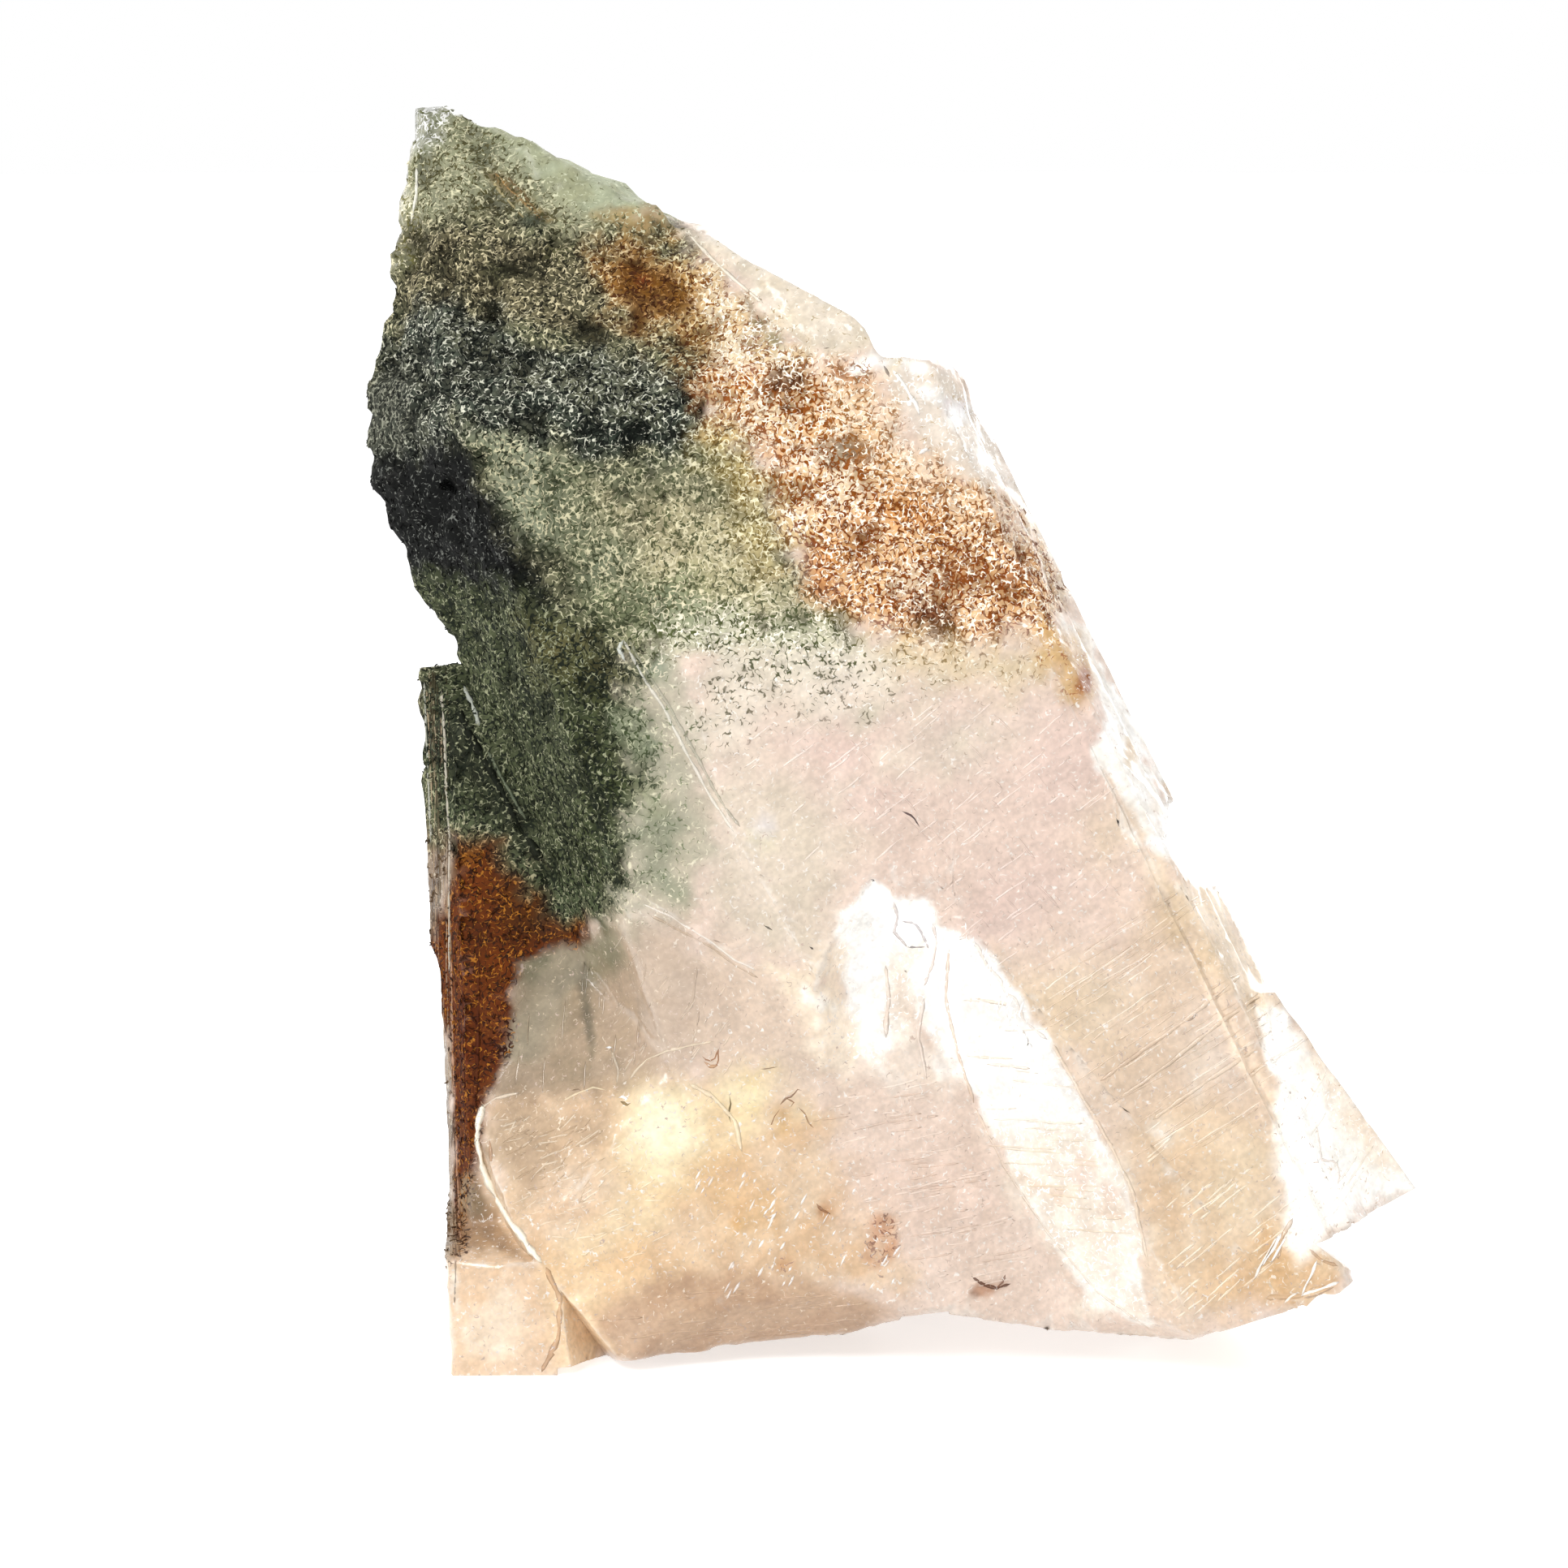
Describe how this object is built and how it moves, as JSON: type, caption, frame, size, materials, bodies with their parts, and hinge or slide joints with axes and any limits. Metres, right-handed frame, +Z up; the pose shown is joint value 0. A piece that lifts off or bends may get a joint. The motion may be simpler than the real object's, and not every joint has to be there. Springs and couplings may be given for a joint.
{
  "type": "chlorite quartz crystal",
  "caption": "Leaning quartz crystal with a chlorite-crusted pointed end, smaller crystals grown against its sides, and a chipped, broken base that it stands on.",
  "frame": {"origin": "centre of the bounding box, at the level of the floor that the crystal rests on", "axes": "+Z up, +X to the right and +Y to the back as the big front face is seen; the pointed end leans towards -X"},
  "size_m": [0.058, 0.0336, 0.0684],
  "materials": {
    "milky_quartz": "natural crystal faces: milky and partly see-through below, matte green chlorite above"
  },
  "bodies": {
    "root": {"quartz_crystal": "milky_quartz"}
  },
  "joints": []
}
